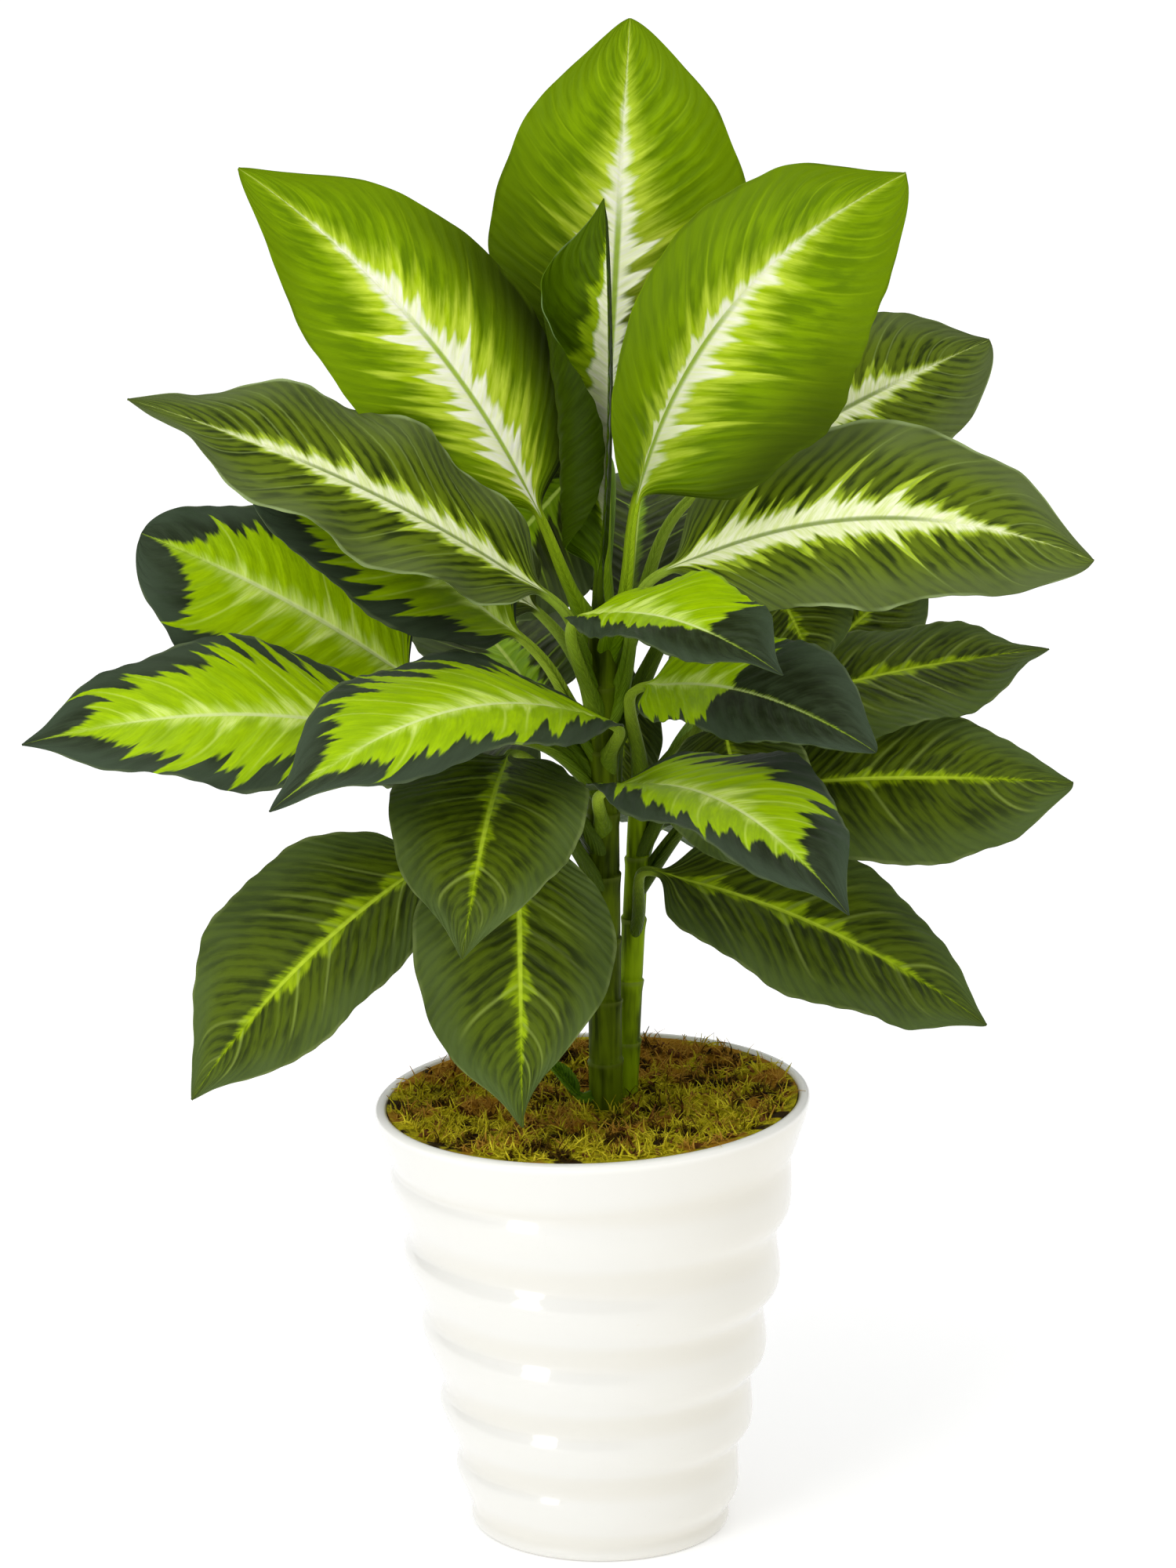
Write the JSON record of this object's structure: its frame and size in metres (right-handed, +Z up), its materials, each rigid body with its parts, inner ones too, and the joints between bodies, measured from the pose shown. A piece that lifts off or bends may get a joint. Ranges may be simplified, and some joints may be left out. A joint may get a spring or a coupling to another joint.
{
  "type": "potted dieffenbachia",
  "caption": "Variegated dieffenbachia with broad cream and lime marked leaves on upright canes, growing in moss-topped soil in a ringed white glazed pot.",
  "frame": {"origin": "centre of the pot's flat underside, on the surface that it stands on", "axes": "+Z up, -Y towards the side seen from the front, +X to the right seen from the front"},
  "size_m": [0.4299, 0.3061, 0.6311],
  "materials": {
    "glazed_pot": "white gloss glaze over ceramic, with soft tilted rings",
    "soil": "dark crumbly potting mix of bark, peat and grit",
    "moss": "dried moss: olive, straw and brown fibres with bits of bark",
    "cane": "smooth green stem with pale leaf scars, darker on the old wood",
    "crown_leaf": "satin yellow-green leaf with a feathered cream-white centre",
    "cream_leaf": "satin dark green leaf with a feathered cream centre along the midrib",
    "lime_leaf": "satin leaf, lime green inside with a jagged edge to its dark green margin",
    "dark_leaf": "satin dark green leaf with a bright lime midrib and fine paler veins",
    "back_leaf": "satin green leaf with a lime green centre",
    "shoot": "thin pale green sheath"
  },
  "bodies": {
    "root": {"pot": "glazed_pot", "potting_soil": "soil", "moss": "moss", "cane_main": "cane", "cane_side": "cane", "crown_leaf_back": "crown_leaf", "crown_leaf_left": "crown_leaf", "crown_leaf_right": "crown_leaf", "crown_leaf_rolled": "crown_leaf", "cream_leaf_left": "cream_leaf", "cream_leaf_right": "cream_leaf", "cream_leaf_back_right": "cream_leaf", "cream_leaf_under_left": "cream_leaf", "lime_leaf_upper_left": "lime_leaf", "lime_leaf_far_left": "lime_leaf", "lime_leaf_left": "lime_leaf", "lime_leaf_front_left": "lime_leaf", "lime_leaf_front": "lime_leaf", "lime_leaf_front_small": "lime_leaf", "lime_leaf_front_right": "lime_leaf", "dark_leaf_upper_right": "dark_leaf", "dark_leaf_right": "dark_leaf", "dark_leaf_behind_right": "dark_leaf", "dark_leaf_olive": "dark_leaf", "dark_leaf_lower_right": "dark_leaf", "dark_leaf_front_left": "dark_leaf", "dark_leaf_front": "dark_leaf", "dark_leaf_lower_left": "dark_leaf", "dark_leaf_inner": "dark_leaf", "dark_leaf_centre": "dark_leaf", "back_leaf_upper_left": "back_leaf", "back_leaf_upper": "back_leaf", "back_leaf_left": "back_leaf", "back_leaf_right": "back_leaf", "back_leaf_lower_left": "back_leaf", "back_leaf_lower": "back_leaf", "basal_shoot": "shoot"}
  },
  "joints": []
}
